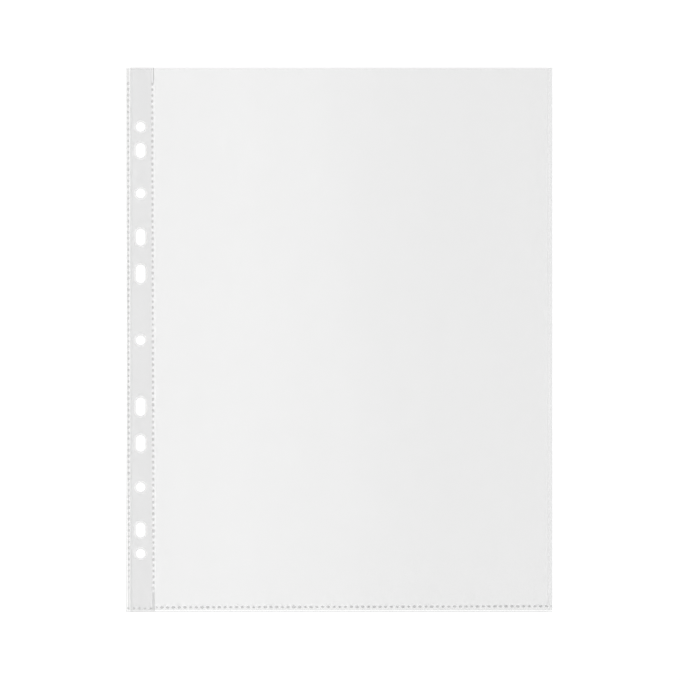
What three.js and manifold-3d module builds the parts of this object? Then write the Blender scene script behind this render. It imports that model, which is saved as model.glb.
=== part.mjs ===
// A4 punched pocket for ring binders: folded film, a punched reinforcing strip and dotted welds.
// Millimetres. The pocket lies flat: X runs from the punched margin to the fold, Y from the
// bottom weld to the open mouth, Z up from the back film to the front film.
// The origin is the middle of the underside.

import * as THREE from 'three';
import { mergeGeometries, mergeVertices } from 'three/addons/utils/BufferGeometryUtils.js';
import Module from 'manifold-3d';

const wasm = await Module();
wasm.setup();

// Film and strip
const pocketWidth = 239.5;
const pocketHeight = 306;
const filmThickness = 0.1;
const stripThickness = 0.15;
const stripWidth = 13.6;
const borderWidth = 1.9;
const frontTopStep = 0.7;
const frontBottomStep = 1;

// Ring holes, as distances up and down from the middle hole
const holeWidth = 6;
const holeFromEdge = 7.8;
const holeRowDrop = 0.3;
const innerSlot = { offset: 37.4, length: 11 };
const middleSlot = { offset: 58, length: 10 };
const innerRound = { offset: 82.6, length: holeWidth };
const outerSlot = { offset: 106.7, length: 9 };
const outerRound = { offset: 120, length: holeWidth };
const holeSides = 16;

// Welds
const dotPitch = 3.223;
const dotLength = 1.8;
const dotBreadth = 1.2;
const dotHeight = 0.06;
const dotTipLength = 0.4;
const outerDotsFromEdge = 0.9;
const outerDotsBelowTop = 8.9;
const outerDotsAboveBottom = 13.2;
const innerDotsFromStripEdge = 0.8;
const innerWeldWidth = 1.5;
const innerDotsBelowTop = 9.15;
const innerDotsAboveBottom = 13;
const bottomDotsFromSide = 1;
const bottomDotsFromPocketSide = 3.53;
const bottomDotsAboveBottom = 2.7;
const marginDotsAboveBottom = 2;
const weldBeyondDots = 0.8;

// The rounded fold
const foldWidth = 2.8;
const foldRise = 0.75;
const foldSteps = 22;

// Clearances
const hingeClearance = 0.35;
const frontFilmSetback = 0.45;
const filmClearance = 0.3;

// Levels of the layers, from the surface that the pocket lies on
const backTop = filmThickness;
const stripTop = backTop + stripThickness;
const frontTop = stripTop + filmThickness;

// Distances from the left edge and from the bottom edge
const marginWidth = borderWidth + stripWidth;
const pocketStart = marginWidth + 2 * hingeClearance;
const foldStart = pocketWidth - foldWidth;
const frontFilmTop = pocketHeight - frontTopStep;
const weldTop = bottomDotsAboveBottom + weldBeyondDots;
const marginWeldTop = marginDotsAboveBottom + weldBeyondDots;
const innerWeldStart = marginWidth - innerWeldWidth;
const innerWeldTop = pocketHeight - innerDotsBelowTop + dotLength / 2 + weldBeyondDots;
const innerWeldBottom = innerDotsAboveBottom - dotLength / 2 - weldBeyondDots;

const filmLook = { color: 0xeef0f0, roughness: 0.18, metalness: 0, transparent: true, opacity: 0.45 };
const stripLook = { color: 0xe4e6e6, roughness: 0.4, metalness: 0, transparent: true, opacity: 0.85 };
const weldLook = { color: 0xcbcecf, roughness: 0.3, metalness: 0, transparent: true, opacity: 0.8 };

// Places are worked out from the left and bottom edges, and moved to the middle here.
const fromLeft = (distance) => distance - pocketWidth / 2;
const fromBottom = (distance) => distance - pocketHeight / 2;
const holeRowMiddle = pocketHeight / 2 - holeRowDrop;

function named(name, geometry, look) {
  const mesh = new THREE.Mesh(geometry, new THREE.MeshStandardMaterial(look));
  mesh.name = name;
  return mesh;
}

// One end of a slot is half a turn of points, so a slot as long as it is wide is a round hole.
function holeOutline(above, length) {
  const radius = holeWidth / 2;
  const reach = (length - holeWidth) / 2;
  const points = [];
  for (const end of [1, -1]) {
    for (let step = 0; step <= holeSides / 2; step += 1) {
      const turn = (step / (holeSides / 2)) * Math.PI;
      const across = end * radius * Math.cos(turn);
      const along = end * (radius * Math.sin(turn) + reach);
      const repeated = reach === 0 && step === holeSides / 2;
      if (!repeated) {
        points.push(new THREE.Vector2(fromLeft(holeFromEdge + across), fromBottom(above + along)));
      }
    }
  }
  return new THREE.Path(points);
}

function ringHoles() {
  const holes = [holeOutline(holeRowMiddle, holeWidth)];
  for (const kind of [innerSlot, middleSlot, innerRound, outerSlot, outerRound]) {
    for (const side of [1, -1]) {
      holes.push(holeOutline(holeRowMiddle + side * kind.offset, kind.length));
    }
  }
  return holes;
}

// A flat layer from an outline of [from left, from bottom] corners.
function layer(corners, holes, bottom, thickness) {
  const shape = new THREE.Shape(
    corners.map(([across, along]) => new THREE.Vector2(fromLeft(across), fromBottom(along))),
  );
  shape.holes = holes;
  const geometry = new THREE.ExtrudeGeometry(shape, { depth: thickness, bevelEnabled: false });
  geometry.translate(0, 0, bottom);
  return geometry;
}

function rectangle(left, bottom, right, top) {
  return [[left, bottom], [right, bottom], [right, top], [left, top]];
}

// One melted dot: a six-sided pad, long along the weld. Its foot reaches into the band below it.
function weldDot(across, along, foot, top, runsUp) {
  const length = dotLength / 2;
  const flank = length - dotTipLength;
  const breadth = dotBreadth / 2;
  const outline = [
    [length, 0], [flank, breadth], [-flank, breadth],
    [-length, 0], [-flank, -breadth], [flank, -breadth],
  ];
  const corners = outline.map(([lengthwise, sideways]) => (
    runsUp ? [across - sideways, along + lengthwise] : [across + lengthwise, along + sideways]
  ));
  return layer(corners, [], foot, top - foot);
}

function solid(geometry) {
  const bare = geometry.clone();
  bare.deleteAttribute('normal');
  bare.deleteAttribute('uv');
  const merged = mergeVertices(bare);
  return new wasm.Manifold(new wasm.Mesh({
    numProp: 3,
    vertProperties: new Float32Array(merged.attributes.position.array),
    triVerts: new Uint32Array(merged.index.array),
  }));
}

function geometryOf(manifold) {
  const mesh = manifold.getMesh();
  const geometry = new THREE.BufferGeometry();
  geometry.setAttribute('position', new THREE.BufferAttribute(mesh.vertProperties, 3));
  geometry.setIndex(new THREE.BufferAttribute(mesh.triVerts, 1));
  const flat = geometry.toNonIndexed();
  flat.computeVertexNormals();
  return flat;
}

// A welded line: a band of fused film with its row of dots standing on it.
function weldLine(band, bottom, height, dotPlaces, runsUp) {
  const bandSolid = solid(layer(band, [], bottom, height));
  const middle = bottom + height / 2;
  const top = bottom + height + dotHeight;
  const dots = dotPlaces.map(([across, along]) => weldDot(across, along, middle, top, runsUp));
  return geometryOf(bandSolid.add(solid(mergeGeometries(dots))));
}

function dotsUp(across, lowest, highest) {
  const places = [];
  for (let along = highest; along >= lowest; along -= dotPitch) {
    places.push([across, along]);
  }
  return places;
}

function dotsAcross(along, first, last) {
  const places = [];
  for (let across = first; across <= last; across += dotPitch) {
    places.push([across, along]);
  }
  return places;
}

// Film over and under the strip, and the strip, stop short of the welded lines that replace them.
function notchedOutline(left, bottom, top) {
  const notch = innerWeldStart - filmClearance;
  return [
    [left, bottom],
    [marginWidth, bottom],
    [marginWidth, innerWeldBottom - filmClearance],
    [notch, innerWeldBottom - filmClearance],
    [notch, innerWeldTop + filmClearance],
    [marginWidth, innerWeldTop + filmClearance],
    [marginWidth, top],
    [left, top],
  ];
}

function backMargin() {
  const outline = rectangle(0, 0, marginWidth, pocketHeight);
  return named('back_margin', layer(outline, ringHoles(), 0, filmThickness), filmLook);
}

function bindingStrip() {
  const bottom = marginWeldTop + filmClearance;
  const outline = notchedOutline(borderWidth, bottom, pocketHeight);
  return named('binding_strip', layer(outline, ringHoles(), backTop, stripThickness), stripLook);
}

function frontMargin() {
  const bottom = marginWeldTop + filmClearance;
  const outline = notchedOutline(borderWidth, bottom, frontFilmTop);
  return named('front_margin', layer(outline, ringHoles(), stripTop, filmThickness), filmLook);
}

function outerWeld() {
  const bottom = marginWeldTop + filmClearance;
  const band = rectangle(0, bottom, borderWidth - filmClearance, frontFilmTop);
  const highest = pocketHeight - outerDotsBelowTop;
  const dots = dotsUp(outerDotsFromEdge, outerDotsAboveBottom, highest);
  return named('outer_weld', weldLine(band, backTop, filmThickness, dots, true), weldLook);
}

function innerWeld() {
  const band = rectangle(innerWeldStart, innerWeldBottom, marginWidth, innerWeldTop);
  const across = marginWidth - innerDotsFromStripEdge;
  const dots = dotsUp(across, innerDotsAboveBottom, pocketHeight - innerDotsBelowTop);
  const height = stripThickness + filmThickness;
  return named('inner_weld', weldLine(band, backTop, height, dots, true), weldLook);
}

function marginEndWeld() {
  const band = rectangle(0, frontBottomStep, marginWidth, marginWeldTop);
  const dots = dotsAcross(marginDotsAboveBottom, bottomDotsFromSide, marginWidth - dotLength / 2);
  const height = stripThickness + filmThickness;
  return named('margin_end_weld', weldLine(band, backTop, height, dots, false), weldLook);
}

// The back film runs on under the flattened end of the fold at the bottom weld.
function backPanel() {
  const outline = [
    [pocketStart, 0],
    [pocketWidth, 0],
    [pocketWidth, weldTop],
    [foldStart, weldTop],
    [foldStart, pocketHeight],
    [pocketStart, pocketHeight],
  ];
  return named('back_panel', layer(outline, [], 0, filmThickness), filmLook);
}

function bottomWeld() {
  const band = rectangle(pocketStart, frontBottomStep, pocketWidth, weldTop);
  const first = pocketStart + bottomDotsFromPocketSide;
  const dots = dotsAcross(bottomDotsAboveBottom, first, pocketWidth - dotLength);
  return named('bottom_weld', weldLine(band, backTop, filmThickness, dots, false), weldLook);
}

// The film's middle line round the fold: out along the front film, over the rise and back below.
function foldMiddleLine() {
  const half = filmThickness / 2;
  const end = foldWidth - half;
  const shoulder = foldWidth * 0.6;
  const over = new THREE.CubicBezierCurve(
    new THREE.Vector2(0, frontTop - half),
    new THREE.Vector2(foldWidth * 0.25, frontTop - half),
    new THREE.Vector2(foldWidth * 0.35, foldRise - half),
    new THREE.Vector2(shoulder, foldRise - half),
  );
  const round = new THREE.CubicBezierCurve(
    new THREE.Vector2(shoulder, foldRise - half),
    new THREE.Vector2(end, foldRise - half),
    new THREE.Vector2(end, half),
    new THREE.Vector2(shoulder, half),
  );
  const under = new THREE.LineCurve(new THREE.Vector2(shoulder, half), new THREE.Vector2(0, half));
  const points = [...over.getPoints(foldSteps / 3), ...round.getPoints(foldSteps).slice(1)];
  points.push(under.v2);
  return points;
}

// The film's wall: the middle line set out to both sides by half the film's thickness.
function sideFold() {
  const line = foldMiddleLine();
  const outside = [];
  const inside = [];
  line.forEach((point, index) => {
    const before = line[Math.max(index - 1, 0)];
    const after = line[Math.min(index + 1, line.length - 1)];
    const along = after.clone().sub(before).normalize();
    const isEnd = index === 0 || index === line.length - 1;
    const outward = isEnd ? new THREE.Vector2(0, Math.sign(along.x)) : new THREE.Vector2(-along.y, along.x);
    outside.push(point.clone().addScaledVector(outward, filmThickness / 2));
    inside.push(point.clone().addScaledVector(outward, -filmThickness / 2));
  });
  const shape = new THREE.Shape([...outside, ...inside.reverse()]);
  const length = pocketHeight - weldTop - filmClearance;
  const geometry = new THREE.ExtrudeGeometry(shape, { depth: length, bevelEnabled: false });
  geometry.rotateX(Math.PI / 2);
  geometry.translate(fromLeft(foldStart), fromBottom(pocketHeight), 0);
  return named('side_fold', geometry, filmLook);
}

function frontPanel() {
  const outline = rectangle(
    pocketStart + frontFilmSetback,
    weldTop + filmClearance,
    foldStart - filmClearance,
    frontFilmTop,
  );
  return named('front_panel', layer(outline, [], stripTop, filmThickness), filmLook);
}

const punchedMargin = new THREE.Group();
punchedMargin.add(backMargin(), bindingStrip(), frontMargin(), outerWeld(), innerWeld(), marginEndWeld());

const frontFilm = new THREE.Group();
frontFilm.add(frontPanel());

const pocketBack = new THREE.Group();
pocketBack.add(backPanel(), sideFold(), bottomWeld(), frontFilm);

const punchedPocket = new THREE.Group();
punchedPocket.add(punchedMargin, pocketBack);

export default punchedPocket;
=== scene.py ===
# The dressed pocket: folded clear film, a whitish punched strip and dotted welds.
import math

import bmesh
import bpy
import numpy as np
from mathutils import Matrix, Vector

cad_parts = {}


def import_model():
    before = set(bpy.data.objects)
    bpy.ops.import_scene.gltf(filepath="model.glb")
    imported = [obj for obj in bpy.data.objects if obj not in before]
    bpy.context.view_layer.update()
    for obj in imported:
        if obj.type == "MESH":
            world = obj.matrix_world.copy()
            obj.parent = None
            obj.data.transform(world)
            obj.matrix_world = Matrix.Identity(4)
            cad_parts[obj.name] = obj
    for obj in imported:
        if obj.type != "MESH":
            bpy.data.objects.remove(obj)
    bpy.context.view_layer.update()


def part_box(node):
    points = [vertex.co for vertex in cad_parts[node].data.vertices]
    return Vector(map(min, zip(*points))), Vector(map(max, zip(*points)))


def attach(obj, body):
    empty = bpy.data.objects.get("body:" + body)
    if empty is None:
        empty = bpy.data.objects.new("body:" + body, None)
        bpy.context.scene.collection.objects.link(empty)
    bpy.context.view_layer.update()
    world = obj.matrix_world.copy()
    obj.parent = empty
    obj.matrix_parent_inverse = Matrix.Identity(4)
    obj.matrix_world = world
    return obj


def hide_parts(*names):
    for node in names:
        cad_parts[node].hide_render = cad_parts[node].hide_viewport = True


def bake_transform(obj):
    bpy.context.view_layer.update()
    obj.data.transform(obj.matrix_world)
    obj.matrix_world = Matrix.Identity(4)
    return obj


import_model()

MM = 0.001

# Places and levels taken from the solids
MARGIN_LOW, MARGIN_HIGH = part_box("back_margin")
STRIP_LOW, STRIP_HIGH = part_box("binding_strip")
PANEL_LOW, PANEL_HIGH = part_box("back_panel")
FRONT_LOW, FRONT_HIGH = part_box("front_panel")
FOLD_LOW, FOLD_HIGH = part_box("side_fold")
BOTTOM_WELD_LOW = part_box("bottom_weld")[0]
END_WELD_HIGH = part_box("margin_end_weld")[1]
OUTER_WELD_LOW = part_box("outer_weld")[0]
INNER_WELD_LOW, INNER_WELD_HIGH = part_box("inner_weld")

LEFT = MARGIN_LOW.x
MARGIN_END = MARGIN_HIGH.x
FOLD_START = FOLD_LOW.x
RIGHT = PANEL_HIGH.x
BOTTOM = PANEL_LOW.y
TOP = PANEL_HIGH.y
FRONT_TOP = FRONT_HIGH.y
FRONT_EDGE = BOTTOM_WELD_LOW.y
HINGE_Y = FRONT_LOW.y
FILM = MARGIN_HIGH.z - MARGIN_LOW.z
STRIP_TOP = STRIP_HIGH.z

# Sizes that the solids share but don't name
AIR = 0.01 * MM  # kept free above and below each film, so that no two faces coincide
SKIN = FILM - 2 * AIR
HOLE_X = LEFT + 7.8 * MM
HOLE_Y = (BOTTOM + TOP) / 2 - 0.3 * MM
HOLE_WIDTH = 6 * MM
# How far from the middle hole and how long each kind of hole is, in millimetres
HOLE_KINDS = ((0, 6), (37.4, 11), (58, 10), (82.6, 6), (106.7, 9), (120, 6))
DOT_PITCH = 3.223 * MM
OUTER_DOTS_X = LEFT + 0.75 * MM
INNER_DOTS_X = MARGIN_END - 1.18 * MM
OUTER_DOTS_TOP = TOP - 8.9 * MM
INNER_DOTS_TOP = TOP - 9.15 * MM
SIDE_DOTS = 89
WEAK_DOTS = 4  # the last ones of the outer weld, which are pressed less
MARGIN_DOTS_X = LEFT + 0.8 * MM
MARGIN_DOTS_Y = BOTTOM + 1.95 * MM
MARGIN_DOTS_PITCH = 3.165 * MM
MARGIN_DOTS = 5
POCKET_DOTS_X = PANEL_LOW.x + 3.53 * MM
POCKET_DOTS_Y = BOTTOM + 2.42 * MM
POCKET_DOTS_PITCH = 3.229 * MM
POCKET_DOTS = 68
FIRST_PART_DOT_X = PANEL_LOW.x + 0.7 * MM
LAST_PART_DOT_X = RIGHT - 0.85 * MM

# The welds' lines lean a little on the real pocket, by so much from dot to dot
OUTER_DOTS_LEAN = 0.0053 * MM
INNER_DOTS_LEAN = 0.0091 * MM
POCKET_DOTS_LEAN = 0.0101 * MM

# How far the real pocket's edges stray from the solids' straight ones
STRIP_WIDENING = 0.3 * MM
FRONT_DRAW = 0.62 * MM
BACK_BOW_AT_TOP = 0.27 * MM
BACK_BOW_AT_BOTTOM = 0.46 * MM

# Middle heights of the front film, pressed on the back film and raised to the strip's level
PRESSED = 1.5 * FILM
RAISED = STRIP_TOP + FILM / 2

# How far in from a cut edge the painted edge shade reaches, and how steeply it fades
RIM = 0.34 * MM
RIM_STEEPNESS = 1.8

# The line between the back film's bottom edge and the front film's
HEM_LINE = BOTTOM + 2 * RIM

# The border outside the outer weld, whose columns follow the cut edges
BORDER_START = LEFT + RIM
BORDER_END = LEFT + 1.3 * MM

# The burr that the punch leaves
BURR_RADIUS = 0.2 * MM

# Where the film bends when the pocket turns about its margin
BEND_START = MARGIN_END + 0.35 * MM
BEND_END = BEND_START + 3 * MM

# Where the front film leaves the weld's puckers and starts to lift with the mouth
PUCKER_END = MARGIN_END + 9 * MM
MIDDLE_X = (PUCKER_END + FOLD_START) / 2

# The fold's outermost line
FOLD_REACH = RIGHT - 0.15 * MM

# Steps of the films' grids, on plain film, over puckers, and as far as the film rises above the weld
PLAIN_STEP = 3 * MM
PUCKER_STEP = DOT_PITCH / 4
RISE_STEP = 0.8 * MM
RISE_END = HINGE_Y + 8 * MM


# Curves used in several shapes

def ease(value, start, end):
    """0 before start, 1 after end and smooth between them, for numbers and arrays."""
    t = np.clip((value - start) / (end - start), 0, 1)
    return t * t * (3 - 2 * t)


def spaced(start, end, step):
    """Evenly spaced places from start to end, about a step apart."""
    return np.linspace(start, end, max(2, round((end - start) / step) + 1))


def joined(*runs):
    """Runs of places in one list, each shared end kept once."""
    return np.unique(np.round(np.concatenate(runs), 8))


# Meshes

def new_object(name, verts, faces, edges=()):
    mesh = bpy.data.meshes.new(name)
    mesh.from_pydata(verts, edges, faces)
    mesh.update()
    obj = bpy.data.objects.new(name, mesh)
    bpy.context.scene.collection.objects.link(obj)
    return obj


def smooth(obj, degrees=35):
    obj.data.shade_smooth()
    obj.data.set_sharp_from_angle(angle=math.radians(degrees))
    return obj


def paint(obj, label, value):
    """Writes a number on each vertex, worked out from its place, for the materials to read."""
    mesh = obj.data
    places = np.empty(len(mesh.vertices) * 3)
    mesh.vertices.foreach_get("co", places)
    x, y = places.reshape(-1, 3)[:, :2].T
    layer = mesh.attributes.new(label, "FLOAT", "POINT")
    layer.data.foreach_set("value", np.broadcast_to(value(x, y), x.shape).astype(np.float32))
    return obj


def near(place, edge, width=RIM):
    """1 on an edge and 0 from a rim's width away."""
    return np.clip(RIM_STEEPNESS * (1 - np.abs(place - edge) / width), 0, 1)


def film_sheet(name, xs, ys, middle, thickness=SKIN, shift=None):
    """A closed sheet over a grid of places, its two faces set out from the middle height.

    shift gives how far each place of the grid moves sideways first.
    """
    across, along = np.meshgrid(xs, ys, indexing="ij")
    if shift:
        across = across + shift(across, along)
    height = middle(across, along)
    upper = np.stack([across, along, height + thickness / 2], -1).reshape(-1, 3)
    lower = np.stack([across, along, height - thickness / 2], -1).reshape(-1, 3)
    columns, rows = len(xs), len(ys)
    index = np.arange(columns * rows).reshape(columns, rows)
    a, b = index[:-1, :-1].ravel(), index[1:, :-1].ravel()
    c, d = index[1:, 1:].ravel(), index[:-1, 1:].ravel()
    over = np.stack([a, b, c, d], -1)
    under = np.stack([d, c, b, a], -1) + columns * rows
    rim = np.concatenate([index[:, 0], index[-1, 1:], index[-2::-1, -1], index[0, -2:0:-1]])
    after = np.roll(rim, -1)
    wall = np.stack([rim, rim + columns * rows, after + columns * rows, after], -1)
    faces = np.concatenate([over, under, wall]).tolist()
    return new_object(name, np.concatenate([upper, lower]).tolist(), faces)


def apply_modifiers(obj):
    """The object's mesh as its modifiers leave it, with none of them left on it."""
    graph = bpy.context.evaluated_depsgraph_get()
    made = bpy.data.meshes.new_from_object(obj.evaluated_get(graph))
    obj.modifiers.clear()
    obj.data = made
    return obj


def ring_holes(grown=0.0, steps=24):
    """The outlines of the eleven ring holes, each a run of (x, y) places, grown outwards if asked."""
    radius = HOLE_WIDTH / 2 + grown
    outlines = []
    for offset, length in HOLE_KINDS:
        for side in (1, -1) if offset else (1,):
            reach = length * MM / 2 - HOLE_WIDTH / 2
            ring = []
            for end in (1, -1):
                for step in range(steps + (1 if reach > 0 else 0)):
                    turn = step / steps * math.pi
                    x = HOLE_X + end * radius * math.cos(turn)
                    y = HOLE_Y + side * offset * MM + end * (radius * math.sin(turn) + reach)
                    ring.append((x, y))
            outlines.append(ring)
    return outlines


def slot_cutter():
    """The eleven ring holes as one set of closed prisms, taller than the pocket."""
    verts, faces = [], []
    for ring in ring_holes():
        first, count = len(verts), len(ring)
        verts += [(x, y, -2 * MM) for x, y in ring]
        verts += [(x, y, 2 * MM) for x, y in ring]
        faces.append([first + k for k in reversed(range(count))])
        faces.append([first + count + k for k in range(count)])
        for k in range(count):
            n = (k + 1) % count
            faces.append([first + k, first + n, first + count + n, first + count + k])
    return new_object("cutter", verts, faces)


def punched(obj, cutter):
    cut = obj.modifiers.new("holes", "BOOLEAN")
    cut.operation = "DIFFERENCE"
    cut.solver = "EXACT"
    cut.object = cutter
    return smooth(apply_modifiers(obj))


# Lines that aren't quite straight on the real pocket

def strip_lean(x, y):
    """Widens the strip downwards: its inner edge leans to the left at the top, then to the right."""
    return -STRIP_WIDENING * y / TOP * (x - STRIP_LOW.x) / (MARGIN_END - STRIP_LOW.x)


def strip_end(y):
    return MARGIN_END + strip_lean(MARGIN_END, y)


def outer_line(y):
    """Where the outer weld's line of dots runs."""
    return OUTER_DOTS_X + OUTER_DOTS_LEAN * (OUTER_DOTS_TOP - y) / DOT_PITCH


def low_part(y):
    """0 over the upper part of the pocket, and 1 at its bottom, where the films' edges part."""
    return ease(-y, 30 * MM, 130 * MM)


def front_start(y):
    """The front film's cut edge, which draws in from the back film's towards the bottom."""
    return LEFT + FRONT_DRAW * low_part(y)


def front_draw(x, y):
    """Moves the front film's first columns in with its cut edge."""
    return (front_start(y) - LEFT) * (1 - ease(x, BORDER_START, BORDER_END))


def back_bow(x, y):
    """Moves the back film's first columns with its cut edge, which bows in at the middle."""
    bow = BACK_BOW_AT_TOP * ease(y, 10 * MM, 120 * MM) + BACK_BOW_AT_BOTTOM * low_part(y)
    return -bow * (1 - ease(x, BORDER_START, BORDER_END))


# Shapes of the films

def back_level(x, y):
    """Middle height of the back film, which lies flat."""
    return np.full_like(x, FILM / 2)


def strip_level(x, y):
    """Middle height of the strip, which lies flat between the films."""
    return np.full_like(x, (STRIP_LOW.z + STRIP_HIGH.z) / 2)


def pucker(across, along, line, start, reach, depth):
    """The small waves that a weld pulls into the film, with the pitch of its dots."""
    fade = np.exp(-np.abs(across - line) / reach)
    return depth * fade * np.cos(2 * math.pi * (along - start) / DOT_PITCH)


def film_waves(x, y):
    """Long soft waves of the front film, which run up the pocket and never reach the back film."""
    u, v = x / MM, y / MM
    waves = (
        0.10 * np.sin(u / 9.5 + 0.5 * np.sin(v / 70))
        + 0.13 * np.sin(u / 17 + 1.3 + 0.4 * np.sin(v / 55 + 2))
        + 0.08 * np.sin(u / 31 - v / 120 + 0.6)
        + 0.05 * np.sin(u / 6.1 + v / 43)
    )
    return (waves + 0.22) * MM


def opened(y, length=4 * MM):
    """How far the pocket has opened above the bottom weld: 0 on the weld and 1 a length above it."""
    return ease(y, HINGE_Y - 0.3 * MM, HINGE_Y + length)


def front_level(x, y):
    """The front film lies on the strip, is pressed down at the bottom weld and rises above it."""
    on_strip = 1 - ease(x, strip_end(y), strip_end(y) + 1.2 * MM)
    return PRESSED + (RAISED - PRESSED) * np.maximum(on_strip, opened(y))


def front_film(x, y):
    """Middle height of the front film between the inner weld's puckers and the fold."""
    room = ease(x, PUCKER_END, PUCKER_END + 20 * MM) * (1 - ease(x, FOLD_START - 14 * MM, FOLD_START))
    loose = room * ease(y, HINGE_Y, HINGE_Y + 35 * MM)
    puckers = pucker(y, x, POCKET_DOTS_Y, POCKET_DOTS_X, 3 * MM, 0.07 * MM)
    return front_level(x, y) + loose * film_waves(x, y) + puckers * ease(y, HINGE_Y, HINGE_Y + 2 * MM)


def front_by_weld(x, y):
    """The front film next to the inner weld: on the strip, then puckered, then level."""
    beyond = ease(x, MARGIN_END, MARGIN_END + 1.5 * MM)
    beyond = beyond * (1 - ease(x, PUCKER_END - 3 * MM, PUCKER_END))
    run = ease(y, INNER_WELD_LOW.y, INNER_WELD_LOW.y + 2 * MM)
    run = run * (1 - ease(y, INNER_WELD_HIGH.y - 2 * MM, INNER_WELD_HIGH.y))
    puckers = pucker(x, y, MARGIN_END, INNER_DOTS_TOP, 2.6 * MM, 0.1 * MM)
    return front_level(x, y) + beyond * run * puckers


def front_on_margin(x, y):
    """The front film over the margin: down on the back film at the border, up on the strip."""
    step = ease(x, STRIP_LOW.x - 0.35 * MM, STRIP_LOW.x + 0.15 * MM)
    run = ease(y, OUTER_WELD_LOW.y + 8 * MM, OUTER_WELD_LOW.y + 14 * MM)
    run = run * (1 - ease(y, OUTER_DOTS_TOP, OUTER_DOTS_TOP + 3 * MM))
    puckers = pucker(x, y, OUTER_DOTS_X + 1.2 * MM, OUTER_DOTS_TOP, 1.3 * MM, 0.03 * MM)
    return PRESSED + (RAISED - PRESSED) * step + np.abs(puckers) * run * step


def fold_section(y, steps=26):
    """The film's middle line round the fold, as (x, z) places from the front film to the back.

    Just above the bottom weld the fold is still pressed nearly flat.
    """
    half = FILM / 2
    round_top = FOLD_HIGH.z - half
    shoulder = 0.6 * (FOLD_REACH - FOLD_START)
    end = (FOLD_REACH - FOLD_START - SKIN / 2 - shoulder / 4) / 0.75
    start = PRESSED + (RAISED - PRESSED) * opened(y)
    wander = 0.04 * MM * math.sin(y / (23 * MM))
    top = start + (round_top - RAISED - wander) * opened(y, 7 * MM)

    def curve(a, b, c, d, t):
        return (1 - t) ** 3 * a + 3 * (1 - t) ** 2 * t * b + 3 * (1 - t) * t * t * c + t ** 3 * d

    places = []
    for step in range(steps // 2 + 1):
        t = step / (steps // 2)
        across = curve(0, 0.4 * shoulder, 0.6 * shoulder, shoulder, t)
        places.append((across, curve(start, start, top, top, t)))
    for step in range(1, steps + 1):
        t = step / steps
        across = curve(shoulder, end, end, shoulder, t)
        places.append((across, curve(top, top, half, half, t)))
    places.append((shoulder / 2, half))
    places.append((0, half))
    return np.array(places)


def fold_ring(y):
    """The fold's section at one height up the pocket: its outer line, then its inner line back."""
    line = fold_section(y)
    along = np.gradient(line, axis=0)
    along /= np.linalg.norm(along, axis=1)[:, None]
    outward = np.stack([-along[:, 1], along[:, 0]], -1)
    outward[0] = (0, 1)
    outward[-1] = (0, -1)
    section = np.concatenate([line + outward * SKIN / 2, (line - outward * SKIN / 2)[::-1]])
    return np.stack([section[:, 0] + FOLD_START, np.full(len(section), y), section[:, 1]], -1)


def fold_sheet(name, ys):
    """The rounded fold, swept up the pocket from where the bottom weld presses it flat."""
    rings = [fold_ring(y) for y in ys]
    count = len(rings[0])
    verts = np.concatenate(rings).tolist()
    faces = []
    for ring in range(len(ys) - 1):
        base = ring * count
        for k in range(count):
            n = (k + 1) % count
            faces.append([base + k, base + n, base + count + n, base + count + k])
    half = count // 2
    for ring, flip in ((0, False), (len(ys) - 1, True)):
        base = ring * count
        for k in range(half - 1):
            face = [base + k, base + count - 1 - k, base + count - 2 - k, base + k + 1]
            faces.append(face[::-1] if flip else face)
    obj = new_object(name, verts, faces)
    shell = bmesh.new()
    shell.from_mesh(obj.data)
    bmesh.ops.recalc_face_normals(shell, faces=shell.faces)
    shell.to_mesh(obj.data)
    shell.free()
    return smooth(obj)


# Shader helpers

def grey(level):
    """A grey as a colour socket takes it."""
    return (level, level, level, 1)


def material(name):
    made = bpy.data.materials.new(name)
    made.use_nodes = True
    tree = made.node_tree
    return made, tree, tree.nodes["Principled BSDF"]


def feed(tree, socket, value):
    """Sets a socket to a number, or links another socket to it."""
    if isinstance(value, (int, float)):
        socket.default_value = value
    else:
        tree.links.new(value, socket)


def maths(tree, operation, first, second=None):
    node = tree.nodes.new("ShaderNodeMath")
    node.operation = operation
    feed(tree, node.inputs[0], first)
    if second is not None:
        feed(tree, node.inputs[1], second)
    return node.outputs[0]


def noise(tree, vector, scale, detail):
    node = tree.nodes.new("ShaderNodeTexNoise")
    node.inputs["Detail"].default_value = detail
    feed(tree, node.inputs["Vector"], vector)
    feed(tree, node.inputs["Scale"], scale)
    return node.outputs[0]


def group_tree(name, inputs, outputs):
    tree = bpy.data.node_groups.new(name, "ShaderNodeTree")
    for label, kind, value in inputs:
        socket = tree.interface.new_socket(label, in_out="INPUT", socket_type=kind)
        if value is not None:
            socket.default_value = value
    for label, kind in outputs:
        tree.interface.new_socket(label, in_out="OUTPUT", socket_type=kind)
    return tree, tree.nodes.new("NodeGroupInput"), tree.nodes.new("NodeGroupOutput")


def placed(tree, group, **values):
    node = tree.nodes.new("ShaderNodeGroup")
    node.node_tree = group
    for label, value in values.items():
        feed(tree, node.inputs[label.replace("_", " ")], value)
    return node


# How fine the extruded film's bands, clouds, flecks and peel are, and the painted shading of the creases
BAND_SCALE = 40.0
CLOUD_SCALE = 22.0
FLECK_SCALE = 260.0
PEEL_SCALE = 2600.0
CREASE_SHADING_SCALE = 620.0

# The bands' stretch along the extrusion and their share of the cloudiness, above what level
# of noise a fleck shows, and how strongly flecks and the painted shading of the creases show
BAND_STRETCH = (1, 0.06, 1)
BAND_SHARE = 0.65
FLECK_LEVEL = 0.62
FLECK_CONTRAST = 6.0
CREASE_SHADING_CONTRAST = 5.0


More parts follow.
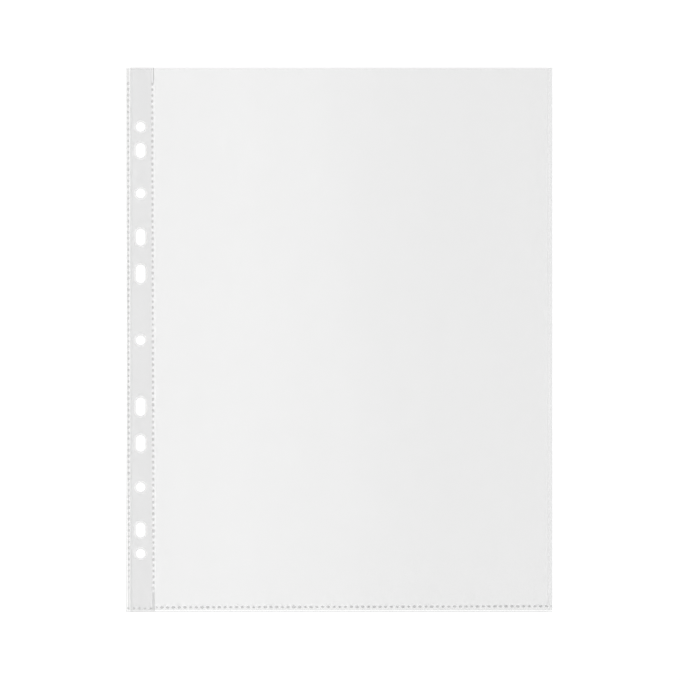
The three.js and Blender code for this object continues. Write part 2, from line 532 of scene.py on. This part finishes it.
def mottle_group():
    """Faint cloudiness of extruded film: bands along the extrusion, flecks and a fine peel."""
    tree, given, made = group_tree(
        "film_mottle",
        [
            ("Vector", "NodeSocketVector", None),
            ("Band Scale", "NodeSocketFloat", BAND_SCALE),
            ("Fleck Scale", "NodeSocketFloat", FLECK_SCALE),
            ("Peel Scale", "NodeSocketFloat", PEEL_SCALE),
        ],
        [("Cloud", "NodeSocketFloat"), ("Flecks", "NodeSocketFloat"), ("Peel", "NodeSocketFloat")],
    )
    place = given.outputs["Vector"]
    stretch = tree.nodes.new("ShaderNodeMapping")
    stretch.inputs["Scale"].default_value = BAND_STRETCH
    tree.links.new(place, stretch.inputs["Vector"])
    bands = noise(tree, stretch.outputs[0], given.outputs["Band Scale"], detail=3)
    clouds = noise(tree, place, CLOUD_SCALE, detail=2)
    both = maths(tree, "ADD", maths(tree, "MULTIPLY", bands, BAND_SHARE),
                 maths(tree, "MULTIPLY", clouds, 1 - BAND_SHARE))
    tree.links.new(both, made.inputs["Cloud"])
    flecks = noise(tree, place, given.outputs["Fleck Scale"], detail=2)
    sparse = maths(tree, "MAXIMUM", maths(tree, "SUBTRACT", flecks, FLECK_LEVEL), 0.0)
    tree.links.new(maths(tree, "MULTIPLY", sparse, FLECK_CONTRAST), made.inputs["Flecks"])
    peel = noise(tree, place, given.outputs["Peel Scale"], detail=1)
    tree.links.new(peel, made.inputs["Peel"])
    return tree


def crease_shading_group():
    """Painted light and shade of the short creases that a dotted weld pulls into the film beyond it, fading
    away.
    """
    tree, given, made = group_tree(
        "weld_crease_shading",
        [
            ("Vector", "NodeSocketVector", None),
            ("Across", "NodeSocketFloat", 0.0),
            ("Line", "NodeSocketFloat", 0.0),
            ("Reach", "NodeSocketFloat", 2.5 * MM),
        ],
        [("Crease Shade", "NodeSocketFloat")],
    )
    gap = maths(tree, "SUBTRACT", given.outputs["Across"], given.outputs["Line"])
    reaches = maths(tree, "DIVIDE", maths(tree, "MAXIMUM", gap, 0.0), given.outputs["Reach"])
    fade = maths(tree, "EXPONENT", maths(tree, "MULTIPLY", reaches, -1.0))
    fade = maths(tree, "MULTIPLY", fade, maths(tree, "GREATER_THAN", gap, 0.0))
    creases = noise(tree, given.outputs["Vector"], CREASE_SHADING_SCALE, detail=1)
    sharp = maths(tree, "MULTIPLY", maths(tree, "SUBTRACT", creases, 0.5), CREASE_SHADING_CONTRAST)
    tree.links.new(maths(tree, "MULTIPLY", sharp, fade), made.inputs["Crease Shade"])
    return tree


# The painted highlight round each hole is centred this far to the left of the hole's middle
HOLE_HIGHLIGHT_SHIFT = 0.15 * MM


def hole_highlight_group():
    """How near a place is to the nearest ring hole, for a painted highlight: 1 at the hole's edge, 0 past
    the highlight.
    """
    tree, given, made = group_tree(
        "hole_highlight",
        [
            ("X", "NodeSocketFloat", 0.0),
            ("Y", "NodeSocketFloat", 0.0),
            ("Full", "NodeSocketFloat", 0.4 * MM),
            ("Fade", "NodeSocketFloat", 0.5 * MM),
        ],
        [("Ring", "NodeSocketFloat")],
    )
    aside = maths(tree, "SUBTRACT", given.outputs["X"], HOLE_X - HOLE_HIGHLIGHT_SHIFT)
    from_middle = maths(tree, "ABSOLUTE", maths(tree, "SUBTRACT", given.outputs["Y"], HOLE_Y))
    beyond = None
    for offset, length in HOLE_KINDS:
        gap = maths(tree, "ABSOLUTE", maths(tree, "SUBTRACT", from_middle, offset * MM))
        past = maths(tree, "MAXIMUM", maths(tree, "SUBTRACT", gap, length * MM / 2 - HOLE_WIDTH / 2), 0.0)
        beyond = past if beyond is None else maths(tree, "MINIMUM", beyond, past)
    square = maths(tree, "ADD", maths(tree, "POWER", aside, 2.0), maths(tree, "POWER", beyond, 2.0))
    gap = maths(tree, "SUBTRACT", maths(tree, "SQRT", square), HOLE_WIDTH / 2)
    faded = maths(tree, "DIVIDE", maths(tree, "SUBTRACT", gap, given.outputs["Full"]), given.outputs["Fade"])
    ring = maths(tree, "SUBTRACT", 1.0, maths(tree, "MINIMUM", maths(tree, "MAXIMUM", faded, 0.0), 1.0))
    tree.links.new(ring, made.inputs["Ring"])
    return tree


# Painted shading that rises and falls slowly across the film's width: how far left of the pocket's middle it
# starts, and how wide it is
SHADE_SWEEP_PLACE = 89.9 * MM
SHADE_SWEEP_WIDTH = 202.5 * MM

# What all the finishes share: the plastic's own refraction, how much its roughness changes
# from place to place, and how suddenly its painted sheen makes it less clear when seen edge on
PLASTIC_IOR = 1.49
ROUGHNESS_DRIFT = 0.12
GRAZING_SHEEN_POWER = 3.0

MOTTLE = mottle_group()
CREASE_SHADING_GROUP = crease_shading_group()
HOLE_HIGHLIGHT_GROUP = hole_highlight_group()


def plastic(name, tint, alpha, roughness, cloud=0.05, flecks=0.05, crease_shading=0.0, peel=0.0015, scale=1.0,
            rim=(0.3, 0.3), grazing_sheen=0.3, shade_sweep=0.0, ring=0.0):
    """Clear or milky plastic: cloudy tone, painted light and shade of the creases beside the dotted welds, a
    fine peel.

    tint is how light its grey is. cloud, flecks and peel are how plainly its marks and the peel show,
    the crease weight how strongly the painted light and shade of the welds' creases shows, and scale
    is how fine the cloudiness and flecks are. rim gives how much darker and less clear the painted shade
    along cut edges and bends is, and the grazing weight how much paler and less clear the plastic is
    painted where it is seen edge on, a painted sheen. The sweep is a painted shading that rises and
    falls slowly across the pocket's width, and ring how much clearer it is round a punched hole, a
    painted highlight.
    """
    made, tree, shader = material(name)
    place = tree.nodes.new("ShaderNodeTexCoord").outputs["Object"]
    split = tree.nodes.new("ShaderNodeSeparateXYZ")
    tree.links.new(place, split.inputs[0])
    x, y = split.outputs[0], split.outputs[1]
    mottle = placed(tree, MOTTLE, Vector=place, Band_Scale=BAND_SCALE * scale,
                    Fleck_Scale=FLECK_SCALE * scale)
    # Painted light and shade of the creases beside the inner weld and above the bottom weld
    beside = placed(tree, CREASE_SHADING_GROUP, Vector=place, Across=x, Line=MARGIN_END, Reach=3 * MM)
    above = placed(tree, CREASE_SHADING_GROUP, Vector=place, Across=y, Line=POCKET_DOTS_Y + 0.9 * MM, Reach=1.6 * MM)
    crease_shades = maths(tree, "ADD", beside.outputs["Crease Shade"], above.outputs["Crease Shade"])
    tone = maths(tree, "MULTIPLY", maths(tree, "SUBTRACT", mottle.outputs["Cloud"], 0.5), cloud)
    tone = maths(tree, "ADD", tone, maths(tree, "MULTIPLY", mottle.outputs["Flecks"], flecks))
    tone = maths(tree, "ADD", tone, maths(tree, "MULTIPLY", crease_shades, crease_shading))
    # Painted shading that rises and falls once across the pocket's width
    across = maths(tree, "DIVIDE", maths(tree, "ADD", x, SHADE_SWEEP_PLACE), SHADE_SWEEP_WIDTH)
    shade_sweeps = maths(tree, "SINE", maths(tree, "MULTIPLY", across, 2 * math.pi))
    tone = maths(tree, "ADD", tone, maths(tree, "MULTIPLY", shade_sweeps, shade_sweep))
    # Painted shade along cut edges and bends, from each vertex's rim number: darker and less clear there
    edge = tree.nodes.new("ShaderNodeAttribute")
    edge.attribute_name = "rim"
    tone = maths(tree, "SUBTRACT", tone, maths(tree, "MULTIPLY", edge.outputs["Fac"], rim[0]))
    tone = maths(tree, "MULTIPLY", maths(tree, "ADD", tone, 1.0), tint)
    tree.links.new(tone, shader.inputs["Base Color"])
    # Painted sheen: the plastic is less clear, and so paler, where it is seen edge on
    look = tree.nodes.new("ShaderNodeLayerWeight")
    facing = maths(tree, "POWER", look.outputs["Facing"], GRAZING_SHEEN_POWER)
    cover = maths(tree, "ADD", alpha, maths(tree, "MULTIPLY", facing, grazing_sheen))
    cover = maths(tree, "ADD", cover, maths(tree, "MULTIPLY", edge.outputs["Fac"], rim[1]))
    # Painted highlight: the plastic is clearer round each punched hole, more so to its left
    if ring:
        punch = placed(tree, HOLE_HIGHLIGHT_GROUP, X=x, Y=y)
        cover = maths(tree, "SUBTRACT", cover, maths(tree, "MULTIPLY", punch.outputs["Ring"], ring))
    tree.links.new(maths(tree, "MAXIMUM", cover, 0.0), shader.inputs["Alpha"])
    drift = maths(tree, "MULTIPLY", mottle.outputs["Cloud"], ROUGHNESS_DRIFT)
    rough = maths(tree, "ADD", roughness, drift)
    tree.links.new(rough, shader.inputs["Roughness"])
    bump = tree.nodes.new("ShaderNodeBump")
    bump.inputs["Distance"].default_value = MM
    height = maths(tree, "MULTIPLY", mottle.outputs["Peel"], peel)
    tree.links.new(height, bump.inputs["Height"])
    tree.links.new(bump.outputs[0], shader.inputs["Normal"])
    shader.inputs["IOR"].default_value = PLASTIC_IOR
    return made


# What the two film finishes share, and what the three kinds of dots share
FILM_LOOK = {"tint": 0.69, "alpha": 0.123, "cloud": 0.1, "rim": (0.4, 0.22), "shade_sweep": 0.036}
DOTS_LOOK = {"roughness": 0.22, "flecks": 0.3, "scale": 6.0}

FILM_MATERIAL = plastic("clear_film", roughness=0.2, crease_shading=0.3, **FILM_LOOK)
FOLD_MATERIAL = plastic("folded_film", roughness=0.25, peel=0.0003, **FILM_LOOK)
STRIP_MATERIAL = plastic("milky_strip", tint=0.94, alpha=0.29, roughness=0.35, cloud=0.12, scale=2.0,
                         rim=(0.6, 0.6), ring=0.24)
LIP_MATERIAL = plastic("punched_lips", tint=0.705, alpha=0.25, roughness=0.3, cloud=0.5, scale=6.0)
BOTTOM_DOTS_MATERIAL = plastic("melted_bottom_dots", tint=0.53, alpha=0.33, cloud=0.6, **DOTS_LOOK)
INNER_DOTS_MATERIAL = plastic("melted_inner_dots", tint=0.56, alpha=0.25, cloud=0.9, **DOTS_LOOK)
OUTER_DOTS_MATERIAL = plastic("melted_outer_dots", tint=0.6, alpha=0.2, cloud=0.9, **DOTS_LOOK)


def dress(obj, finish, slot, body, *nodes):
    """Gives a piece its finish, its body and the solids that it stands for. The slot is not used."""
    obj.data.materials.clear()
    obj.data.materials.append(finish)
    if body:
        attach(obj, body)
    if nodes:
        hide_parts(*nodes)
    return obj


# Dotted welds and punched lips, each grown by a Geometry Nodes tree

def dot_mesh():
    """One pressed dot, a low ring with a sunken middle, a metre in radius and height."""
    rings = ((1.0, 0.0), (0.92, 0.8), (0.76, 1.0), (0.58, 0.55), (0.3, 0.25))
    sides = 12
    verts, faces = [], []
    for radius, height in rings:
        for k in range(sides):
            turn = 2 * math.pi * k / sides
            verts.append((radius * math.cos(turn), radius * math.sin(turn), height))
    for ring in range(len(rings) - 1):
        for k in range(sides):
            n = (k + 1) % sides
            a, b = ring * sides, (ring + 1) * sides
            faces.append((a + k, a + n, b + n, b + k))
    last = (len(rings) - 1) * sides
    faces.append([last + k for k in range(sides)])
    faces.append([k for k in reversed(range(sides))])
    return smooth(new_object("dot", verts, faces), 60)


# The dots' sizes change from one to the next, between these shares of the size given
SMALLEST_DOT = 0.86
LARGEST_DOT = 1.12


def dots_tree():
    """Dots of slightly different sizes, a step apart from the first one."""
    tree = bpy.data.node_groups.new("dotted_weld", "GeometryNodeTree")
    for label, kind in (
        ("Dot", "NodeSocketObject"),
        ("Finish", "NodeSocketMaterial"),
        ("Count", "NodeSocketInt"),
        ("Start", "NodeSocketVector"),
        ("Step", "NodeSocketVector"),
        ("Size", "NodeSocketVector"),
        ("Seed", "NodeSocketInt"),
    ):
        tree.interface.new_socket(label, in_out="INPUT", socket_type=kind)
    tree.interface.new_socket("Geometry", in_out="OUTPUT", socket_type="NodeSocketGeometry")
    nodes, links = tree.nodes, tree.links
    given = nodes.new("NodeGroupInput")
    line = nodes.new("GeometryNodeMeshLine")
    line.mode = "OFFSET"
    links.new(given.outputs["Count"], line.inputs["Count"])
    links.new(given.outputs["Start"], line.inputs["Start Location"])
    links.new(given.outputs["Step"], line.inputs["Offset"])
    drift = nodes.new("FunctionNodeRandomValue")
    drift.data_type = "FLOAT"
    drift.inputs["Min"].default_value = SMALLEST_DOT
    drift.inputs["Max"].default_value = LARGEST_DOT
    links.new(given.outputs["Seed"], drift.inputs["Seed"])
    grown = nodes.new("ShaderNodeVectorMath")
    grown.operation = "SCALE"
    links.new(given.outputs["Size"], grown.inputs[0])
    links.new([s for s in drift.outputs if s.enabled][0], grown.inputs["Scale"])
    shape = nodes.new("GeometryNodeObjectInfo")
    links.new(given.outputs["Dot"], shape.inputs["Object"])
    spread = nodes.new("GeometryNodeInstanceOnPoints")
    links.new(line.outputs["Mesh"], spread.inputs["Points"])
    links.new(shape.outputs["Geometry"], spread.inputs["Instance"])
    links.new(grown.outputs[0], spread.inputs["Scale"])
    real = nodes.new("GeometryNodeRealizeInstances")
    links.new(spread.outputs[0], real.inputs[0])
    coat = nodes.new("GeometryNodeSetMaterial")
    links.new(given.outputs["Finish"], coat.inputs["Material"])
    links.new(real.outputs[0], coat.inputs["Geometry"])
    made = nodes.new("NodeGroupOutput")
    links.new(coat.outputs[0], made.inputs["Geometry"])
    return tree


def grown_by(obj, tree, **values):
    """Runs a Geometry Nodes tree on an object with the named inputs, and keeps the plain mesh."""
    modifier = obj.modifiers.new("made", "NODES")
    modifier.node_group = tree
    sockets = {s.name: s.identifier for s in tree.interface.items_tree if s.in_out == "INPUT"}
    for label, value in values.items():
        modifier[sockets[label.replace("_", " ")]] = value
    return apply_modifiers(obj)


def lips_tree():
    """A small rounded lip along every outline it is given."""
    tree = bpy.data.node_groups.new("punched_lip", "GeometryNodeTree")
    tree.interface.new_socket("Outlines", in_out="INPUT", socket_type="NodeSocketGeometry")
    tree.interface.new_socket("Finish", in_out="INPUT", socket_type="NodeSocketMaterial")
    tree.interface.new_socket("Lip Radius", in_out="INPUT", socket_type="NodeSocketFloat")
    tree.interface.new_socket("Geometry", in_out="OUTPUT", socket_type="NodeSocketGeometry")
    nodes, links = tree.nodes, tree.links
    given = nodes.new("NodeGroupInput")
    path = nodes.new("GeometryNodeMeshToCurve")
    links.new(given.outputs["Outlines"], path.inputs["Mesh"])
    section = nodes.new("GeometryNodeCurvePrimitiveCircle")
    section.inputs["Resolution"].default_value = 6
    links.new(given.outputs["Lip Radius"], section.inputs["Radius"])
    swept = nodes.new("GeometryNodeCurveToMesh")
    links.new(path.outputs[0], swept.inputs["Curve"])
    links.new(section.outputs[0], swept.inputs["Profile Curve"])
    real = nodes.new("GeometryNodeRealizeInstances")
    links.new(swept.outputs[0], real.inputs[0])
    coat = nodes.new("GeometryNodeSetMaterial")
    links.new(given.outputs["Finish"], coat.inputs["Material"])
    links.new(real.outputs[0], coat.inputs["Geometry"])
    made = nodes.new("NodeGroupOutput")
    links.new(coat.outputs[0], made.inputs["Geometry"])
    return tree


def hole_lips():
    """The thin burr that the punch leaves just inside each ring hole, at the front film."""
    verts, edges = [], []
    for ring in ring_holes(-BURR_RADIUS):
        first, count = len(verts), len(ring)
        verts += [(x, y, RAISED) for x, y in ring]
        edges += [(first + k, first + (k + 1) % count) for k in range(count)]
    obj = new_object("hole_lips", verts, [], edges)
    return smooth(grown_by(obj, lips_tree(), Lip_Radius=BURR_RADIUS, Finish=LIP_MATERIAL), 80)


# The pieces

def margin_columns():
    """Places across the margin, close together where the film steps up on the strip's edge."""
    step_start = STRIP_LOW.x - 0.7 * MM
    step_end = STRIP_LOW.x + 0.5 * MM
    return joined(
        spaced(LEFT, BORDER_START, RIM / 2),
        spaced(BORDER_START, step_start, 0.3 * MM),
        spaced(step_start, step_end, 0.15 * MM),
        spaced(step_end, MARGIN_END, 0.7 * MM),
    )


def rimmed(start, end, step, at_start=False, at_end=False):
    """Places from start to end, with a narrow first and last step where an edge is cut."""
    low = start + RIM if at_start else start
    high = end - RIM if at_end else end
    return joined(spaced(start, low, RIM / 2) if at_start else [start], spaced(low, high, step),
                  spaced(high, end, RIM / 2) if at_end else [end])


def above_dots(y):
    """1 over the top of the strip's inner edge, which the weld leaves free."""
    return ease(y, INNER_DOTS_TOP + 0.5 * MM, INNER_DOTS_TOP + 1.2 * MM)


def below_dots(y):
    """1 over the bottom of the strip's inner edge, which the weld leaves free."""
    return 1 - ease(y, INNER_WELD_LOW.y - 0.4 * MM, INNER_WELD_LOW.y + 0.2 * MM)


def beside_dots(y):
    """1 where the strip's inner edge is welded."""
    return (1 - above_dots(y)) * (1 - below_dots(y))


def back_rim(x, y):
    """Painted shade along the back film's cut edges, and a painted highlight on the line between its bottom
    edge and the front film's.

    The highlight runs along the pocket, and the line is painted darker where the border beside the strip
    ends.
    """
    left = near(x, LEFT + back_bow(LEFT, y)) * (0.4 + 0.35 * low_part(y))
    edges = np.maximum(np.maximum(left, near(y, BOTTOM)), near(y, TOP))
    # A painted highlight along the hem line, painted darker where the border beside the strip ends
    clear = 0.6 * ease(x, BORDER_END, BORDER_END + 0.7 * MM) - 0.25
    return edges - clear * near(y, HEM_LINE)


def front_rim(x, y):
    """Painted shade along the front film's cut edges and along the outer weld's groove, and the line beside
    the inner weld.

    The groove is pressed into the border and its shade is painted, and the line is where the film is
    stretched thin.
    """
    ends = 0.3 * np.maximum(near(y, FRONT_TOP), near(y, FRONT_EDGE))
    edges = np.maximum(0.4 * near(x, front_start(y)), ends)
    # Painted shade along the cut edges and the outer weld's groove
    groove = 0.4 * near(x, outer_line(y), 0.5 * MM)
    thin = 0.2 * near(x, strip_end(y) + 0.1 * MM, 0.7 * MM) * beside_dots(y)
    return np.maximum(edges, groove) - thin


def fold_rim(x, y):
    """Two lines of painted shade round the fold, where the film bends and at its outer line."""
    bend = near(x, FOLD_START + 0.65 * MM, 0.9 * MM)
    return np.maximum(0.12 * bend, 0.06 * near(x, FOLD_REACH, 0.5 * MM))


def strip_rim(x, y):
    """Painted shade along the strip's inner edge, which shows plainly above and below the dots that melt it
    into the films.

    There a painted highlight runs just inside the painted dark edge.
    Beside the dots the strip is melted clear as far as its edge. A faint line of painted shade marks its
    outer edge, and its cut ends are painted darker.
    """
    end = strip_end(y)
    # Painted shade along the strip's inner edge and a painted highlight just inside it, above and below the
    # dots
    dark = 0.94 * near(x, end, 0.6 * MM) * above_dots(y)
    dark = np.maximum(dark, 0.3 * near(x, end - 0.8 * MM, 1.0 * MM) * below_dots(y))
    ends = np.maximum(0.73 * near(y, BOTTOM), 0.25 * near(y, HEM_LINE))
    ends = np.maximum(ends, 0.6 * near(y, TOP))
    edges = np.maximum(0.2 * near(x, STRIP_LOW.x + 0.6 * MM, 0.5 * MM), ends)
    clear = 0.7 * near(x, end - 0.6 * MM, 0.35 * MM) * above_dots(y)
    clear = np.maximum(clear, 0.15 * near(x, end - 1.95 * MM, 0.45 * MM) * below_dots(y))
    melted = 0.28 * ease(x, end - 1.5 * MM, end - 0.7 * MM) * beside_dots(y)
    return np.maximum(dark, edges) - np.maximum(clear, melted)


def film_piece(name, columns, rows, middle, rim, body, *nodes, shift=None):
    """A smooth sheet of film with its rims painted, dressed as film on its body."""
    sheet = film_sheet(name, columns, rows, middle, SKIN, shift)
    paint(sheet, "rim", rim)
    return dress(smooth(sheet), FILM_MATERIAL, "film", body, *nodes)


def build_margin(cutter):
    columns = margin_columns()
    rows = joined(rimmed(BOTTOM, TOP, DOT_PITCH / 2, True, True), [HEM_LINE, HEM_LINE + RIM])
    back = film_sheet("back_film_margin", columns, rows, back_level, SKIN, back_bow)
    paint(punched(back, cutter), "rim", back_rim)
    dress(back, FILM_MATERIAL, "film", "punched_margin", "back_margin")

    weld_start = MARGIN_END - 2.7 * MM
    strip_columns = joined(rimmed(STRIP_LOW.x, weld_start, 1.2 * MM, True),
                           spaced(STRIP_LOW.x + RIM, STRIP_LOW.x + 4 * RIM, RIM / 2),
                           spaced(weld_start, MARGIN_END, 0.15 * MM))
    strip_rows = rimmed(BOTTOM + 0.1 * MM, TOP, 1.6 * MM, True, True)
    strip_thickness = STRIP_HIGH.z - STRIP_LOW.z - 2 * AIR
    strip = film_sheet("punched_strip", strip_columns, strip_rows, strip_level, strip_thickness, strip_lean)
    paint(punched(strip, cutter), "rim", strip_rim)
    dress(strip, STRIP_MATERIAL, "strip", "punched_margin", "binding_strip")

    rows = rimmed(END_WELD_HIGH.y, FRONT_TOP, PUCKER_STEP, False, True)
    front = film_sheet("front_film_margin", columns, rows, front_on_margin, SKIN, front_draw)
    paint(punched(front, cutter), "rim", front_rim)
    dress(front, FILM_MATERIAL, "film", "punched_margin", "front_margin")

    dress(hole_lips(), LIP_MATERIAL, "strip", "punched_margin")

    rows = rimmed(FRONT_EDGE, END_WELD_HIGH.y, 0.6 * MM, True, False)
    film_piece("margin_hem", columns, rows, front_on_margin, front_rim, "punched_margin", shift=front_draw)


def across_hinge(obj):
    """Bakes a piece's placement into its mesh; it is used on the film that runs from the margin into the
    pocket, across the place where it bends at the strip's end.
    """
    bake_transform(obj)


def hinge_columns(*further):
    """Places close together where the film bends, then the further runs of places."""
    bend = joined(spaced(MARGIN_END, BEND_START, 0.175 * MM), spaced(BEND_START, BEND_END, 0.25 * MM))
    return joined(bend, *further)


def build_films():
    rows = joined(rimmed(BOTTOM, TOP, PLAIN_STEP, True, True), [HEM_LINE, HEM_LINE + RIM])
    columns = hinge_columns(spaced(BEND_END, FOLD_START, PLAIN_STEP))
    across_hinge(film_piece("back_film", columns, rows, back_level, back_rim, None, "back_panel"))

    film_piece("fold_foot", spaced(FOLD_START, FOLD_REACH, 0.7 * MM), spaced(BOTTOM, HINGE_Y, RIM),
               back_level, back_rim, "pocket")

    rows = rimmed(FRONT_EDGE, HINGE_Y, 0.3 * MM, True)
    columns = hinge_columns(spaced(BEND_END, FOLD_REACH, PUCKER_STEP))
    across_hinge(film_piece("front_hem", columns, rows, front_level, front_rim, None))

    rows = rimmed(HINGE_Y, FRONT_TOP, PUCKER_STEP, False, True)
    columns = hinge_columns(spaced(BEND_END, PUCKER_END, 0.6 * MM))
    across_hinge(film_piece("front_film_by_weld", columns, rows, front_by_weld, front_rim, None))

    rows = joined(spaced(HINGE_Y, RISE_END, RISE_STEP),
                  rimmed(RISE_END, FRONT_TOP, PLAIN_STEP, False, True))
    columns = spaced(PUCKER_END, MIDDLE_X, PUCKER_STEP)
    left = film_piece("front_film_left", columns, rows, front_film, front_rim, None, "front_panel")
    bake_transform(left)

    columns = spaced(MIDDLE_X, FOLD_START, PUCKER_STEP)
    right = film_piece("front_film_right", columns, rows, front_film, front_rim, None, "front_panel")
    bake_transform(right)

    rows = joined(spaced(HINGE_Y, RISE_END, RISE_STEP), spaced(RISE_END, TOP, PLAIN_STEP))
    fold = fold_sheet("rounded_fold", rows)
    paint(fold, "rim", fold_rim)
    dress(fold, FOLD_MATERIAL, "film", "pocket", "side_fold")


def build_welds():
    dot = dot_mesh()
    tree = dots_tree()
    tall = 0.06 * MM
    on_film = 2 * FILM
    on_strip = STRIP_TOP + FILM
    outer = (0.7 * MM, 0.92 * MM, tall)
    inner = (0.66 * MM, 0.92 * MM, tall)
    on_margin = (0.75 * MM, 0.6 * MM, tall)
    along_bottom = (1.0 * MM, 0.68 * MM, tall)
    weak = (0.5 * MM, 0.6 * MM, tall)
    part = (0.4 * MM, 0.6 * MM, tall)
    strong = SIDE_DOTS - WEAK_DOTS
    lines = (
        ("outer_weld", OUTER_DOTS_MATERIAL, strong, (OUTER_DOTS_X, OUTER_DOTS_TOP, on_film),
         (OUTER_DOTS_LEAN, -DOT_PITCH, 0), outer, "punched_margin"),
        ("inner_weld", INNER_DOTS_MATERIAL, SIDE_DOTS, (INNER_DOTS_X, INNER_DOTS_TOP, on_strip),
         (INNER_DOTS_LEAN, -DOT_PITCH, 0), inner, "punched_margin"),
        ("margin_end_weld", INNER_DOTS_MATERIAL, MARGIN_DOTS, (MARGIN_DOTS_X, MARGIN_DOTS_Y, on_strip),
         (MARGIN_DOTS_PITCH, 0, 0), on_margin, "punched_margin"),
        ("bottom_weld", BOTTOM_DOTS_MATERIAL, POCKET_DOTS, (POCKET_DOTS_X, POCKET_DOTS_Y, on_film),
         (POCKET_DOTS_PITCH, POCKET_DOTS_LEAN, 0), along_bottom, "pocket"),
    )

    def dots_line(name, finish, count, start, step, size, seed):
        line = new_object(name, [], [])
        return grown_by(line, tree, Dot=dot, Finish=finish, Count=count, Start=start, Step=step,
                        Size=size, Seed=seed)

    for seed, (node, finish, count, start, step, size, body) in enumerate(lines):
        line = dots_line(node + "_dots", finish, count, start, step, size, seed)
        dress(line, finish, "weld", body, node)

    last_y = OUTER_DOTS_TOP - strong * DOT_PITCH
    weak_dots = dots_line("outer_weld_last_dots", OUTER_DOTS_MATERIAL, WEAK_DOTS,
                          (outer_line(last_y), last_y, on_film), (OUTER_DOTS_LEAN, -DOT_PITCH, 0),
                          weak, len(lines) + 1)
    dress(weak_dots, OUTER_DOTS_MATERIAL, "weld", "punched_margin", "outer_weld")

    reach = LAST_PART_DOT_X - FIRST_PART_DOT_X
    rise = POCKET_DOTS_LEAN * reach / POCKET_DOTS_PITCH
    part_dots = dots_line("bottom_weld_part_dots", BOTTOM_DOTS_MATERIAL, 2,
                          (FIRST_PART_DOT_X, POCKET_DOTS_Y, on_film), (reach, rise, 0),
                          part, len(lines))
    dress(part_dots, BOTTOM_DOTS_MATERIAL, "weld", None)
    across_hinge(part_dots)
    bpy.data.objects.remove(dot)


def build_pocket():
    cutter = slot_cutter()
    build_margin(cutter)
    bpy.data.objects.remove(cutter)
    build_films()
    build_welds()


# The studio

FRAME_PIXELS = 680
PIXELS_PER_MM = 1.7775
CAMERA_HEIGHT = 1.6
SENSOR = 36.0
POCKET_MIDDLE_PIXEL = (339.6, 339.75)
TABLE_SIZE = 8.0
TABLE_DROP = 0.05 * MM
TABLE_GREY = 0.85
SEEN_TABLE_GREY = 0.14
SEEN_TABLE_GLOW = 0.94
FILL_LIGHT = 0.4
KEY_PLACE = (-1.0, 0.0, 0.9)
KEY_SIZE = 0.6
KEY_POWER = 15.4


def camera():
    """Straight above the pocket, as the photograph is taken, at the photograph's scale."""
    data = bpy.data.cameras.new("camera")
    seen = FRAME_PIXELS / PIXELS_PER_MM * MM
    data.sensor_width = SENSOR
    data.lens = SENSOR * CAMERA_HEIGHT / seen
    obj = bpy.data.objects.new("camera", data)
    bpy.context.scene.collection.objects.link(obj)
    shift_x = (FRAME_PIXELS / 2 - POCKET_MIDDLE_PIXEL[0]) / PIXELS_PER_MM * MM
    shift_y = -(FRAME_PIXELS / 2 - POCKET_MIDDLE_PIXEL[1]) / PIXELS_PER_MM * MM
    obj.location = (shift_x, shift_y, CAMERA_HEIGHT)
    bpy.context.scene.camera = obj


def lamp(name, place, size, energy):
    data = bpy.data.lights.new(name, "AREA")
    data.shape = "SQUARE"
    data.size = size
    data.energy = energy
    obj = bpy.data.objects.new(name, data)
    obj.location = place
    bpy.context.scene.collection.objects.link(obj)
    aim = -obj.location
    obj.rotation_euler = aim.to_track_quat("-Z", "Y").to_euler()


def seen_white(tree, surface, shown, lit):
    """Mixes a plain white that the camera, mirrors and glass see with what the light meets."""
    light = tree.nodes.new("ShaderNodeLightPath")
    direct = maths(tree, "MAXIMUM", light.outputs["Is Camera Ray"], light.outputs["Is Glossy Ray"])
    direct = maths(tree, "MAXIMUM", direct, light.outputs["Is Transmission Ray"])
    mix = tree.nodes.new("ShaderNodeMixShader")
    tree.links.new(direct, mix.inputs[0])
    tree.links.new(lit, mix.inputs[1])
    tree.links.new(shown, mix.inputs[2])
    tree.links.new(mix.outputs[0], surface)


def floor():
    reach = TABLE_SIZE / 2
    corners = [(-reach, -reach, 0), (reach, -reach, 0), (reach, reach, 0), (-reach, reach, 0)]
    obj = new_object("table", corners, [(0, 1, 2, 3)])
    obj.location.z = -TABLE_DROP
    made = bpy.data.materials.new("white_table")
    made.use_nodes = True
    tree = made.node_tree
    tree.nodes.clear()
    out = tree.nodes.new("ShaderNodeOutputMaterial")
    matt = tree.nodes.new("ShaderNodeBsdfDiffuse")
    matt.inputs["Color"].default_value = grey(TABLE_GREY)
    dim = tree.nodes.new("ShaderNodeBsdfDiffuse")
    dim.inputs["Color"].default_value = grey(SEEN_TABLE_GREY)
    glow = tree.nodes.new("ShaderNodeEmission")
    glow.inputs["Strength"].default_value = SEEN_TABLE_GLOW
    both = tree.nodes.new("ShaderNodeAddShader")
    tree.links.new(dim.outputs[0], both.inputs[0])
    tree.links.new(glow.outputs[0], both.inputs[1])
    seen_white(tree, out.inputs["Surface"], both.outputs[0], matt.outputs[0])
    obj.data.materials.append(made)


def world():
    made = bpy.data.worlds.new("studio")
    bpy.context.scene.world = made
    made.use_nodes = True
    tree = made.node_tree
    tree.nodes.clear()
    out = tree.nodes.new("ShaderNodeOutputWorld")
    fill = tree.nodes.new("ShaderNodeBackground")
    fill.inputs["Color"].default_value = grey(1)
    fill.inputs["Strength"].default_value = FILL_LIGHT
    white = tree.nodes.new("ShaderNodeBackground")
    white.inputs["Color"].default_value = grey(1)
    seen_white(tree, out.inputs["Surface"], white.outputs[0], fill.outputs[0])


def studio():
    scene = bpy.context.scene
    scene.view_settings.view_transform = "Standard"
    scene.cycles.transparent_max_bounces = 24
    camera()
    floor()
    world()
    lamp("key", KEY_PLACE, KEY_SIZE, KEY_POWER)


studio()
build_pocket()
